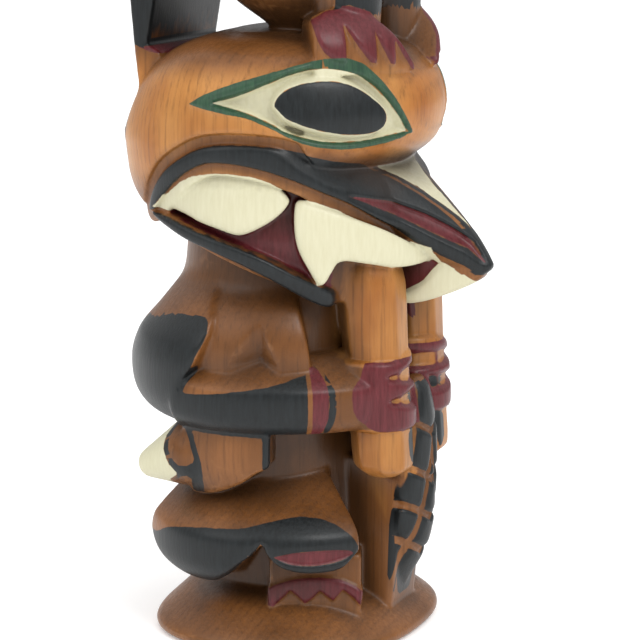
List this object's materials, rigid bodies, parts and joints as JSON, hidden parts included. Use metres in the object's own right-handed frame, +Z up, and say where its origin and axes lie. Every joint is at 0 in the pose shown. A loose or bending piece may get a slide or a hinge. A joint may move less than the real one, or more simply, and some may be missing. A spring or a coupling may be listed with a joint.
{
  "type": "model totem pole",
  "caption": "Carved and painted cedar model totem pole: a beaver gnawing two sticks on a low mound, with a standing bird on its head.",
  "frame": {"origin": "the middle of the flat underside of the base, where the pole's axis meets it", "axes": "+Z up the pole, the beaver and the bird look along -Y, and the pole is alike on both sides of the X = 0 plane"},
  "size_m": [0.0978, 0.1136, 0.35],
  "materials": {
    "carved_cedar": "hand-carved red cedar, stained brown in the recesses, varnished, with black, dark red, green and cream paint on the carved features"
  },
  "bodies": {
    "root": {"totem_pole": "carved_cedar"}
  },
  "joints": []
}
